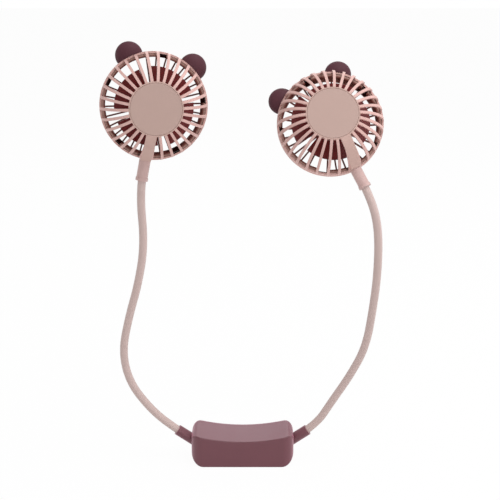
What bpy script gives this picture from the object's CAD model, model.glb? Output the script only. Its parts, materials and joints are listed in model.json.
import json
import math

import bmesh
import bpy
from mathutils import Matrix, Vector


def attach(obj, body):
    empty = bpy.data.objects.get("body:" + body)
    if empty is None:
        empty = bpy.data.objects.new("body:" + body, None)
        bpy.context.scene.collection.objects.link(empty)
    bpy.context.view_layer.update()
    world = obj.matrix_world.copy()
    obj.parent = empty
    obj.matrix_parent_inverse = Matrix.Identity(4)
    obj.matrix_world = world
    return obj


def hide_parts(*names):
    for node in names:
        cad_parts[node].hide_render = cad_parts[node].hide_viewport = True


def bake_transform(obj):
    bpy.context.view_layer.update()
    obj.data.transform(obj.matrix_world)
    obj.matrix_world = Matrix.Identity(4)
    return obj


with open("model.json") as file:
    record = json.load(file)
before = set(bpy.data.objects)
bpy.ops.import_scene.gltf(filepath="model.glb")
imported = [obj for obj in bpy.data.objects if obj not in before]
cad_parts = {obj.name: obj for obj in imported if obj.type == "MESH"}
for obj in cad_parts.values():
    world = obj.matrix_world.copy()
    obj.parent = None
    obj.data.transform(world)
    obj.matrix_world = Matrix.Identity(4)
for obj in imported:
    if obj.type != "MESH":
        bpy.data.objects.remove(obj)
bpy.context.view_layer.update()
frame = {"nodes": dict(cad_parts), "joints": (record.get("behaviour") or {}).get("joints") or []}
nodes = frame["nodes"]
joints = {joint["name"]: joint for joint in frame["joints"]}

MM = 0.001
SIDES = ("left", "right")
OUTWARD = {"left": -1, "right": 1}

# Camera: a long lens in front of the heads, looking a little down
IMAGE_PIXELS = 500
FOCAL_PIXELS = 1000
SENSOR_WIDTH = 36.0
CAMERA_PLACE = Vector((6.0, -730.6, 400.5)) * MM
CAMERA_TILT = 17.0
CAMERA_NEAR = 0.01
CAMERA_FAR = 50.0

# Hoses with their core wires and leads, in the sizes of the model
HOSE_RADIUS = 3.1 * MM
CORE_RADIUS = 0.9 * MM
LEAD_RADIUS = 0.75 * MM
INNER_SHIFT = 1.0 * MM
INNER_SET_BACK = 1.0 * MM
HOSE_SOCKET_DEPTH = 9.0 * MM
HOSE_STRAIGHT = 9.0 * MM
BOX_COLLAR_FOOT = Vector((41.0, 0.0, 17.3)) * MM
BOX_COLLAR_SLOPE = 35.0
BOX_COLLAR_LENGTH = 14.0 * MM
NOD_BELOW_COLLAR = 9.0 * MM
HOSE_SPLIT_HEIGHT = 130.0 * MM
HOSE_ROUTES = {
    "left": [
        (-75.3, 0.0, 45.6),
        (-89.8, 0.0, 67.0),
        (-94.8, 0.2, 93.0),
        (-88.6, 0.4, 122.0),
        (-80.2, 0.4, 150.0),
        (-74.4, 0.0, 182.0),
    ],
    "right": [
        (71.0, -1.5, 50.5),
        (84.8, -4.5, 74.5),
        (96.0, -8.0, 100.0),
        (99.8, -12.0, 131.0),
        (102.2, -16.0, 164.0),
        (101.4, -17.4, 199.0),
    ],
}
# Lead behind the wide spoke, in the head's own frame
HEAD_LEAD_ROUTE = [
    (0.0, -42.0, 4.6),
    (0.0, -35.4, 5.0),
    (0.0, -32.6, 9.4),
    (0.0, -32.0, 16.5),
    (0.0, -26.0, 21.4),
    (0.0, -17.0, 19.2),
    (0.0, -11.05, 15.8),
]
# Lead from the right hose to the control board; the left one is its mirror image
BOX_LEAD_ROUTE = [
    (45.1, 0.0, 20.17),
    (41.0, 0.0, 17.3),
    (35.6, 0.5, 17.2),
    (32.2, 6.2, 14.6),
    (26.75, 8.1, 10.95),
]

# Fineness of the drawn tubes
HOSE_SIDES = 24
WIRE_SIDES = 8
SHORT_LEAD_SIDES = 12
ROUTE_STEPS = 16
MERGE_DISTANCE = 0.001 * MM
SHARP_EDGE = math.radians(40)

# Head, in the sizes of the model
DISC_EDGE = 20.3 * MM
DISC_SHOULDER = 26.9 * MM
SPOKE_HALF_WIDTH = 3.95 * MM
SPOKE_START = 17.0 * MM
RING_INNER = 38.6 * MM
RING_SILL = 2.8 * MM
RIM_INNER = 35.85 * MM
RIM_SHELF = 1.5 * MM
REAR_RIB_FACE = 8.3 * MM
REAR_SHOULDER = 33.0 * MM
REAR_TURN_HEIGHT = 2.0 * MM
REAR_WALL_MIDDLE = 6.3 * MM
SNAP_COUNT = 5

# Battery box, in the sizes of the model
BOX_SOFT_EDGE = 2.0 * MM
BOX_JOINT_MARGIN = 5.0 * MM
SHELL_SCREW_PLACE = 35.6 * MM
SHELL_SCREW_HEIGHT = 5.0 * MM
RECESS_REACH = 1.1 * MM
RECESS_HALF_WIDTH = 0.3 * MM

# Colours of the mouldings, as light reflected
CAGE_PINK = (0.65, 0.412, 0.376)
SPOKE_TAN = (0.55, 0.37, 0.325)
CAP_TAN = (0.45, 0.306, 0.267)
LEDGE_TAN = (0.45, 0.285, 0.245)
LEDGE_BROWN = (0.165, 0.056, 0.046)
SHADE_BROWN = (0.25, 0.105, 0.09)
WELL_BROWN = (0.028, 0.007, 0.006)
COLLAR_PINK = (0.55, 0.372, 0.349)
HOSE_PINK = (0.535, 0.405, 0.378)
EAR_MAUVE = (0.085, 0.031, 0.040)
BOX_MAUVE = (0.148, 0.0455, 0.0595)
BOX_SHEEN = (0.88, 0.45, 0.57)
BLADE_WINE = (0.15, 0.016, 0.0165)
STEEL_GREY = (0.56, 0.56, 0.57)
IRON_GREY = (0.10, 0.10, 0.105)
BRASS_GOLD = (0.62, 0.43, 0.17)
LEAD_BLACK = (0.012, 0.012, 0.013)
BOARD_GREEN = (0.012, 0.09, 0.035)
CELL_BLUE = (0.03, 0.10, 0.30)
FOAM_GREY = (0.07, 0.07, 0.075)
CLEAR_WHITE = (0.86, 0.86, 0.84)

# Detail of the surfaces
PLASTIC_IOR = 1.46
MOULD_GRAIN = 0.35 * MM
MOULD_RELIEF = 0.012 * MM
GRAIN_ROUGHNESS = 0.6
GRAIN_GLOSS = 0.1
FLOW_SIZE = 14.0 * MM
FLOW_DETAIL = 3.0
FLOW_GLOSS = 0.12
CAP_RING_PITCH = 1.1 * MM
CAP_RING_SHARE = 0.7
CAP_GRAIN_SHARE = 0.5
STREAK_SIZE = 0.8 * MM
STREAK_DETAIL = 4.0
STREAK_ROUGHNESS = 0.7
STREAK_DARK = 0.85
STREAK_LIGHT = 1.1
STREAK_GLOSS = 0.15
STREAK_RELIEF = 0.006 * MM
SOFT_STEP = 0.3 * MM
LEDGE_SHADE_EDGE = 37.0 * MM
LEDGE_SHADE_STEP = 1.4 * MM
SNAP_SHADE_EDGE = 0.7
SNAP_SHADE_STEP = 0.2
SOFT_EDGE_SAMPLES = 8

# Studio
FLOOR_HALF_WIDTH = 6.0
FLOOR_PAPER = (0.85, 0.85, 0.85)
FLOOR_GLOW = 0.96
WORLD_WHITE = (1.0, 1.0, 1.0)
WORLD_LIGHT = 0.5
LAMP_TARGET = Vector((0.0, 0.0, 0.17))
# Place and width in metres, and power in watts
LAMPS = {
    "key": ((0.45, -0.25, 1.4), 1.2, 12.5),
    "front": ((0.4, -1.3, 0.6), 1.0, 3.4),
    "back": ((0.0, 1.3, 0.8), 0.8, 1.6),
    "left side": ((-1.2, 0.15, 0.3), 0.8, 1.4),
    "right side": ((1.2, 0.15, 0.3), 0.8, 3.0),
}


# Shader arithmetic

class Value:
    """A number socket that takes part in Python sums; each sum adds its Math node."""

    def __init__(self, shading, socket):
        self.shading = shading
        self.socket = socket

    def combine(self, operation, *terms):
        return self.shading.node("ShaderNodeMath", {"operation": operation}, dict(enumerate(terms)))

    def __add__(self, other):
        return self.combine("ADD", self, other)

    def __radd__(self, other):
        return self.combine("ADD", other, self)

    def __sub__(self, other):
        return self.combine("SUBTRACT", self, other)

    def __rsub__(self, other):
        return self.combine("SUBTRACT", other, self)

    def __mul__(self, other):
        return self.combine("MULTIPLY", self, other)

    def __rmul__(self, other):
        return self.combine("MULTIPLY", other, self)

    def __neg__(self):
        return self.combine("MULTIPLY", self, -1.0)

    def __abs__(self):
        return self.combine("ABSOLUTE", self)

    def sine(self):
        return self.combine("SINE", self)

    def angle(self, base):
        """Angle whose tangent is this value over the base."""
        return self.combine("ARCTAN2", self, base)

    def root(self):
        return self.combine("SQRT", self)

    def larger(self, other):
        return self.combine("MAXIMUM", self, other)

    def above(self, limit, step=SOFT_STEP):
        """One where the value is over a limit, nothing under it, with a soft step between."""
        smooth = {"interpolation_type": "SMOOTHSTEP"}
        inputs = {"Value": self, "From Min": limit - step / 2, "From Max": limit + step / 2}
        return self.shading.node("ShaderNodeMapRange", smooth, inputs, "Result")

    def below(self, limit, step=SOFT_STEP):
        return 1.0 - self.above(limit, step)


class Shading:
    """Node tree of a material or of the surroundings."""

    def __init__(self, holder):
        holder.use_nodes = True
        self.tree = holder.node_tree
        self.tree.nodes.clear()

    def node(self, kind, settings=None, inputs=None, output=0):
        """Adds a node, sets it up, fills or links its sockets and gives one of its outputs."""
        item = self.tree.nodes.new(kind)
        for name, setting in (settings or {}).items():
            setattr(item, name, setting)
        for name, content in (inputs or {}).items():
            self.feed(item.inputs[name], content)
        return item if output is None else Value(self, item.outputs[output])

    def feed(self, socket, content):
        """Links a socket to a value, or sets it."""
        if isinstance(content, Value):
            self.tree.links.new(content.socket, socket)
        elif socket.type == "RGBA":
            socket.default_value = (*content, 1.0)
        else:
            socket.default_value = content

    def straight_rays(self):
        """One for rays that show the surroundings: seen, mirrored or through something clear."""
        camera, mirrored, through = (
            self.node("ShaderNodeLightPath", output=f"Is {way} Ray")
            for way in ("Camera", "Glossy", "Transmission")
        )
        return camera.larger(mirrored).larger(through)


class Finish(Shading):
    """Material of one kind of surface."""

    def __init__(self, name):
        self.material = bpy.data.materials.new(name)
        super().__init__(self.material)
        self.shader = self.node("ShaderNodeBsdfPrincipled", output=None)
        self.surface = Value(self, self.shader.outputs["BSDF"])
        end = {"Surface": self.surface}
        self.output = self.node("ShaderNodeOutputMaterial", inputs=end, output=None)
        self.place = self.node("ShaderNodeTexCoord", output="Object")
        self.colour = None

    def set(self, **inputs):
        """Fills or links the shader's own sockets; an underscore stands for a space."""
        for name, content in inputs.items():
            self.feed(self.shader.inputs[name.replace("_", " ")], content)

    def paint(self, colour, mask=1.0):
        """Lays a colour over the surface, or over the part of it that a mask leaves free."""
        self.colour = colour if self.colour is None else self.mix(mask, self.colour, colour)
        self.set(Base_Color=self.colour)

    def noise(self, size, detail=2.0, roughness=0.5):
        """Cloudy pattern whose blotches are about one size across, from 0 to 1."""
        inputs = {"Vector": self.place, "Scale": 1 / size, "Detail": detail, "Roughness": roughness}
        return self.node("ShaderNodeTexNoise", inputs=inputs, output="Fac")

    def mix(self, amount, first, second):
        """Colour between two others."""
        return self.node("ShaderNodeMix", {"data_type": "RGBA"}, {0: amount, 6: first, 7: second}, 2)

    def bump(self, height, depth, **over):
        """Relief that is depth high where the pattern is 1, over the surface or another Normal."""
        inputs = {"Height": height, "Distance": depth, "Strength": 1.0, **over}
        return self.node("ShaderNodeBump", inputs=inputs, output="Normal")

    def along(self, origin, axis):
        """Distance along an axis from a point."""
        shift = {"operation": "SUBTRACT"}
        shifted = self.node("ShaderNodeVectorMath", shift, {0: self.place, 1: tuple(origin)}, "Vector")
        dot = {"operation": "DOT_PRODUCT"}
        return self.node("ShaderNodeVectorMath", dot, {0: shifted, 1: tuple(axis)}, "Value")

    def in_head(self, side):
        """Place in a head's own frame, and the distance from the fan axis."""
        matrix = head_matrix(side)
        x, y, z = (self.along(matrix.translation, matrix.col[i].xyz) for i in range(3))
        return x, y, z, (x * x + y * y).root()


def head_matrix(side):
    """Head's own frame: Z along the fan axis, Y away from the hose."""
    spin = joints[f"{side}_fan_spin"]
    axis = Vector(spin["axis"]).normalized()
    across = Vector(joints[f"{side}_head_nod"]["axis"]).normalized()
    turn = Matrix((across, axis.cross(across), axis)).transposed().to_4x4()
    return Matrix.Translation(spin["pos_m"]) @ turn


# Finishes

def tint(colour, factor):
    """Colour made lighter or darker."""
    return tuple(min(1.0, channel * factor) for channel in colour)


def moulded(name, colour, rough=0.42, grain=MOULD_GRAIN, relief=MOULD_RELIEF, cloud=0.05):
    """Moulded plastic: faint flow clouding, an eroded fine grain and uneven gloss."""
    finish = Finish(name)
    flow = finish.noise(FLOW_SIZE, FLOW_DETAIL)
    speck = finish.noise(grain, roughness=GRAIN_ROUGHNESS)
    finish.paint(finish.mix(flow, tint(colour, 1 - cloud), tint(colour, 1 + cloud)))
    finish.set(Roughness=rough + (flow - 0.5) * FLOW_GLOSS + (speck - 0.5) * GRAIN_GLOSS)
    finish.set(Normal=finish.bump(speck, relief), IOR=PLASTIC_IOR)
    return finish


def cap_finish(side):
    """Cap on the disc: matte, with the fine rings of a turned mould."""
    finish = moulded(f"{side}_cap_tan", CAP_TAN, rough=0.5, cloud=0.03)
    radius = finish.in_head(side)[3]
    rings = (radius * (2 * math.pi / CAP_RING_PITCH)).sine() * 0.5 + 0.5
    height = rings * CAP_RING_SHARE + finish.noise(MOULD_GRAIN) * CAP_GRAIN_SHARE
    finish.set(Normal=finish.bump(height, MOULD_RELIEF))
    return finish


def front_cage_finish(side):
    """Pink ribs and ring, dark inside the ring, with a tan border round the disc and a tan spoke."""
    finish = moulded(f"{side}_cage_pink", CAGE_PINK)
    finish.set(Specular_IOR_Level=0.2)
    x, y, z, radius = finish.in_head(side)
    finish.paint(SPOKE_TAN, radius.below(DISC_EDGE) * z.above(DISC_SHOULDER))
    spoke = abs(x).below(SPOKE_HALF_WIDTH) * y.below(-SPOKE_START)
    finish.paint(SPOKE_TAN, spoke * z.above(RING_SILL))
    inside = radius.above(RIM_INNER) * radius.below(RING_INNER + SOFT_STEP)
    finish.paint(WELL_BROWN, inside * z.below(RING_SILL - SOFT_STEP))
    return finish


def rear_cage_finish(side):
    """Dull pink outside; brown ledge, inner wall and inner rib faces, dark behind the snaps."""
    finish = moulded(f"{side}_rear_pink", CAGE_PINK, rough=0.45)
    finish.set(Specular_IOR_Level=0.0)
    x, y, z, radius = finish.in_head(side)
    rim_inside = radius.above(RIM_INNER - SOFT_STEP)
    ledge = rim_inside * radius.below(RING_INNER - SOFT_STEP / 2) * z.above(-RIM_SHELF - SOFT_STEP)
    ledge_shade = radius.below(LEDGE_SHADE_EDGE, LEDGE_SHADE_STEP)
    finish.paint(finish.mix(ledge_shade, LEDGE_TAN, LEDGE_BROWN), ledge)
    outer, drop = radius - REAR_SHOULDER, z + REAR_TURN_HEIGHT
    wall_inside = (outer * outer + drop * drop).root().below(REAR_WALL_MIDDLE)
    well = rim_inside * wall_inside * z.below(-RIM_SHELF)
    finish.paint(SHADE_BROWN, well)
    snap_wave = (x.angle(-y) * SNAP_COUNT - math.pi / 2).sine()
    finish.paint(WELL_BROWN, well * snap_wave.above(SNAP_SHADE_EDGE, SNAP_SHADE_STEP))
    finish.paint(SHADE_BROWN, radius.below(RIM_INNER - SOFT_STEP) * z.above(-REAR_RIB_FACE))
    return finish


def soft_box():
    """Box moulding whose edges catch the light as round ones do, apart from its shells' flush joint."""
    finish = moulded("box_mauve", BOX_MAUVE, rough=0.36, cloud=0.04)
    plain = finish.node("ShaderNodeNewGeometry", output="Normal")
    rounded = finish.node("ShaderNodeBevel", {"samples": SOFT_EDGE_SAMPLES}, {"Radius": BOX_SOFT_EDGE})
    off_joint = abs(finish.along((0, 0, 0), (0, 1, 0))).above(BOX_JOINT_MARGIN, BOX_SOFT_EDGE)
    normal = finish.mix(off_joint, plain, rounded)
    speck = finish.noise(MOULD_GRAIN, roughness=GRAIN_ROUGHNESS)
    finish.set(Normal=finish.bump(speck, MOULD_RELIEF, Normal=normal))
    finish.set(Sheen_Weight=0.8, Sheen_Roughness=0.4, Sheen_Tint=BOX_SHEEN)
    return finish


def metal(name, colour, rough):
    """Bare metal with drawn streaks."""
    finish = Finish(name)
    streak = finish.noise(STREAK_SIZE, STREAK_DETAIL, STREAK_ROUGHNESS)
    finish.paint(finish.mix(streak, tint(colour, STREAK_DARK), tint(colour, STREAK_LIGHT)))
    finish.set(Roughness=rough + (streak - 0.5) * STREAK_GLOSS, Metallic=1.0)
    finish.set(Normal=finish.bump(streak, STREAK_RELIEF))
    return finish


def screw_steel():
    """Screws with a dark cross recess in each head."""
    finish = metal("screw_steel", STEEL_GREY, rough=0.28)
    across = abs(abs(finish.along((0, 0, 0), (1, 0, 0))) - SHELL_SCREW_PLACE)
    upright = abs(finish.along((0, 0, SHELL_SCREW_HEIGHT), (0, 0, 1)))
    bar = across.below(RECESS_REACH) * upright.below(RECESS_HALF_WIDTH)
    post = upright.below(RECESS_REACH) * across.below(RECESS_HALF_WIDTH)
    finish.paint(LEAD_BLACK, bar.larger(post))
    return finish


def silicone():
    """Smooth soft sleeve with a dusty sheen."""
    smooth = {"grain": 0.8 * MM, "relief": 0.0012 * MM, "cloud": 0.03}
    finish = moulded("hose_silicone", HOSE_PINK, rough=0.46, **smooth)
    finish.set(Sheen_Weight=0.3, Sheen_Roughness=0.35)
    return finish


def soft_collar():
    """Soft plastic that is paler where its round sides turn away."""
    finish = moulded("collar_pink", COLLAR_PINK, rough=0.45)
    finish.set(Sheen_Weight=0.4, Sheen_Roughness=0.35)
    return finish


def wine_blades():
    """Deep red plastic with a slight gloss."""
    finish = moulded("blade_wine", BLADE_WINE, rough=0.35, relief=0.004 * MM)
    finish.set(Specular_IOR_Level=0.25)
    return finish


def dusky_ears():
    """Dark plastic with a soft, dull face."""
    finish = moulded("ear_mauve", EAR_MAUVE, rough=0.5)
    finish.set(Specular_IOR_Level=0.1)
    return finish


def dress(names, finish):
    """Gives CAD nodes a finish."""
    for name in names:
        mesh = nodes[name].data
        mesh.materials.clear()
        mesh.materials.append(finish.material)


def both(*names):
    """Names of the left and the right piece of each kind."""
    return [f"{side}_{name}" for side in SIDES for name in names]


# Hoses and leads

def route_spline(name, points):
    """Curve that follows a route's corners."""
    curve = bpy.data.curves.new(name, "CURVE")
    curve.dimensions = "3D"
    curve.resolution_u = ROUTE_STEPS
    spline = curve.splines.new("NURBS")
    spline.points.add(len(points) - 1)
    for corner, place in zip(spline.points, points):
        corner.co = (*place, 1.0)
    spline.order_u = 3
    spline.use_endpoint_u = True
    return curve


def tube_mesh(name, points, radius, sides):
    """Closed round tube along a route."""
    curve = route_spline(name, points)
    curve.bevel_depth = radius
    curve.bevel_resolution = sides // 4
    curve.use_fill_caps = True
    holder = bpy.data.objects.new(f"{name}_curve", curve)
    mesh = bpy.data.meshes.new_from_object(holder)
    bpy.data.objects.remove(holder)
    bpy.data.curves.remove(curve)
    mesh.name = name
    return mesh


def smooth_sides(bm):
    """Smooth shading with sharp rims round the end faces."""
    for face in bm.faces:
        face.smooth = True
    for edge in bm.edges:
        edge.smooth = len(edge.link_faces) < 2 or edge.calc_face_angle() < SHARP_EDGE


def merged(mesh):
    """Editable copy of a tube whose caps are joined to its sides."""
    bm = bmesh.new()
    bm.from_mesh(mesh)
    bmesh.ops.remove_doubles(bm, verts=bm.verts, dist=MERGE_DISTANCE)
    return bm


def new_piece(name, bm, finish):
    """Object made from a finished shape."""
    mesh = bpy.data.meshes.new(name)
    bm.to_mesh(mesh)
    bm.free()
    mesh.materials.append(finish.material)
    piece = bpy.data.objects.new(name, mesh)
    bpy.context.scene.collection.objects.link(piece)
    return piece


def half_tube(name, mesh, upper, finish):
    """Part of a tube above or below the height at which the hose is split."""
    bm = merged(mesh)
    cut = bmesh.ops.bisect_plane(
        bm,
        geom=bm.verts[:] + bm.edges[:] + bm.faces[:],
        plane_co=(0, 0, HOSE_SPLIT_HEIGHT),
        plane_no=(0, 0, 1),
        clear_inner=upper,
        clear_outer=not upper,
    )
    rim = [item for item in cut["geom_cut"] if isinstance(item, bmesh.types.BMEdge)]
    bmesh.ops.holes_fill(bm, edges=rim, sides=0)
    bmesh.ops.recalc_face_normals(bm, faces=bm.faces)
    smooth_sides(bm)
    return new_piece(name, bm, finish)


def hose_ends(side):
    """Mouths of the two collars and the ways that the hose leaves them."""
    slope = math.radians(BOX_COLLAR_SLOPE)
    low_way = Vector((OUTWARD[side] * math.cos(slope), 0, math.sin(slope)))
    foot = Vector((OUTWARD[side] * BOX_COLLAR_FOOT.x, BOX_COLLAR_FOOT.y, BOX_COLLAR_FOOT.z))
    low_mouth = foot + low_way * BOX_COLLAR_LENGTH
    high_way = -head_matrix(side).col[1].xyz
    pivot = Vector(joints[f"{side}_head_nod"]["pos_m"])
    high_mouth = pivot - high_way * NOD_BELOW_COLLAR
    return low_mouth, low_way, high_mouth, high_way


def arm_tube(side, name, node, radius, sides, finish, shift=0.0, back=0.0):
    """Tube along an arm, in a lower and an upper length that bend with their joints."""
    low_mouth, low_way, high_mouth, high_way = hose_ends(side)
    inside = HOSE_SOCKET_DEPTH - back
    points = [low_mouth - low_way * inside, low_mouth + low_way * HOSE_STRAIGHT]
    points += [Vector(corner) * MM for corner in HOSE_ROUTES[side]]
    points += [high_mouth + high_way * HOSE_STRAIGHT, high_mouth - high_way * inside]
    points = [point + Vector((0, shift, 0)) for point in points]
    mesh = tube_mesh(f"{side}_{name}", points, radius, sides)
    lower = half_tube(f"{side}_{name}_lower", mesh, False, finish)
    upper = half_tube(f"{side}_{name}_upper", mesh, True, finish)
    bpy.data.meshes.remove(mesh)
    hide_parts(f"{side}_{node}")
    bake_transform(lower)
    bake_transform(upper)


def arm(side, hose_finish, core_finish, lead_finish):
    """Sleeve with the core wire and the lead side by side in it."""
    arm_tube(side, "hose", "hose_sleeve", HOSE_RADIUS, HOSE_SIDES, hose_finish)
    arm_tube(
        side, "core", "core_wire", CORE_RADIUS, WIRE_SIDES, core_finish,
        shift=-INNER_SHIFT, back=INNER_SET_BACK,
    )
    arm_tube(
        side, "lead", "hose_lead", LEAD_RADIUS, WIRE_SIDES, lead_finish,
        shift=INNER_SHIFT, back=INNER_SET_BACK,
    )


def whole_tube(name, points, finish, node, body):
    """Lead of one length that replaces its CAD node and moves with one body."""
    mesh = tube_mesh(name, points, LEAD_RADIUS, SHORT_LEAD_SIDES)
    bm = merged(mesh)
    bpy.data.meshes.remove(mesh)
    smooth_sides(bm)
    lead = new_piece(name, bm, finish)
    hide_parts(node)
    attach(lead, body)


def short_leads(side, finish):
    """Motor lead behind the wide spoke, and the lead in the box."""
    matrix = head_matrix(side)
    points = [matrix @ (Vector(corner) * MM) for corner in HEAD_LEAD_ROUTE]
    whole_tube(f"{side}_motor_lead", points, finish, f"{side}_head_lead", f"{side}_head")
    points = [Vector((OUTWARD[side] * x, y, z)) * MM for x, y, z in BOX_LEAD_ROUTE]
    whole_tube(f"{side}_board_lead", points, finish, f"{side}_box_lead", "box")


# Pieces and their finishes

hose_finish = silicone()
steel = metal("steel", STEEL_GREY, rough=0.32)
lead_finish = moulded("lead_black", LEAD_BLACK, rough=0.5)
for side in SIDES:
    dress([f"{side}_front_cage"], front_cage_finish(side))
    dress([f"{side}_rear_cage"], rear_cage_finish(side))
    dress([f"{side}_front_cap"], cap_finish(side))
dress(both("outer_ear", "inner_ear"), dusky_ears())
dress(both("head_collar"), soft_collar())
dress(both("impeller"), wine_blades())
dress(both("motor_can", "motor_screws", "motor_shaft", "collar_clip", "core_wire"), steel)
dress(both("motor_rotor"), metal("rotor_iron", IRON_GREY, rough=0.5))
dress(both("motor_bushing"), metal("bush_brass", BRASS_GOLD, rough=0.35))
dress(both("hose_lead", "head_lead", "box_lead"), lead_finish)
dress(both("hose_sleeve"), hose_finish)
dress(["box_front_shell", "box_back_shell", "power_button"] + both("box_collar"), soft_box())
dress(["board_screws", "charging_socket"], metal("bright_steel", STEEL_GREY, rough=0.28))
dress(["shell_screws"], screw_steel())
dress(["battery_cell"], moulded("cell_wrap", CELL_BLUE, rough=0.3))
dress(["cell_pad"], moulded("pad_foam", FOAM_GREY, rough=0.8, grain=0.6 * MM, relief=0.1 * MM))
dress(["control_board"], moulded("board_green", BOARD_GREEN, rough=0.35))
dress(["switch_body", "switch_plunger"], lead_finish)
dress(["light_pipe"], moulded("light_clear", CLEAR_WHITE, rough=0.2, cloud=0.02))

for side in SIDES:
    arm(side, hose_finish, steel, lead_finish)
    short_leads(side, lead_finish)


# Studio

def white_floor():
    """Pale floor that the camera sees as white paper with the object's soft shadow."""
    bm = bmesh.new()
    bmesh.ops.create_grid(bm, x_segments=1, y_segments=1, size=FLOOR_HALF_WIDTH)
    mesh = bpy.data.meshes.new("floor")
    bm.to_mesh(mesh)
    bm.free()
    finish = Finish("floor_paper")
    finish.set(Base_Color=FLOOR_PAPER, Roughness=0.9)
    glow = finish.node("ShaderNodeEmission")
    share = finish.straight_rays() * FLOOR_GLOW
    paper = finish.node("ShaderNodeMixShader", None, {0: share, 1: finish.surface, 2: glow})
    finish.feed(finish.output.inputs["Surface"], paper)
    mesh.materials.append(finish.material)
    floor = bpy.data.objects.new("floor", mesh)
    bpy.context.scene.collection.objects.link(floor)


def studio_world():
    """Even white surroundings: white to look at, softer as light."""
    world = bpy.data.worlds.new("studio")
    bpy.context.scene.world = world
    sky = Shading(world)
    level = WORLD_LIGHT + sky.straight_rays() * (1 - WORLD_LIGHT)
    glow = sky.node("ShaderNodeBackground", inputs={"Color": WORLD_WHITE, "Strength": level})
    sky.node("ShaderNodeOutputWorld", inputs={"Surface": glow}, output=None)


def soft_lamp(name, place, width, power):
    """Round lamp, turned to the middle of the object."""
    data = bpy.data.lights.new(name, "AREA")
    data.shape = "DISK"
    data.size = width
    data.energy = power
    lamp = bpy.data.objects.new(name, data)
    lamp.visible_camera = False
    bpy.context.scene.collection.objects.link(lamp)
    turn = (LAMP_TARGET - Vector(place)).to_track_quat("-Z", "Y").to_matrix().to_4x4()
    lamp.matrix_world = Matrix.Translation(place) @ turn


def photo_camera():
    """Camera where the photograph was taken from."""
    data = bpy.data.cameras.new("camera")
    data.sensor_fit = "HORIZONTAL"
    data.sensor_width = SENSOR_WIDTH
    data.lens = SENSOR_WIDTH * FOCAL_PIXELS / IMAGE_PIXELS
    data.clip_start = CAMERA_NEAR
    data.clip_end = CAMERA_FAR
    camera = bpy.data.objects.new("camera", data)
    bpy.context.scene.collection.objects.link(camera)
    turn = Matrix.Rotation(math.radians(90 - CAMERA_TILT), 4, "X")
    camera.matrix_world = Matrix.Translation(CAMERA_PLACE) @ turn
    bpy.context.scene.camera = camera


white_floor()
studio_world()
for name, (place, width, power) in LAMPS.items():
    soft_lamp(name, place, width, power)
photo_camera()
bpy.context.scene.view_settings.view_transform = "Standard"
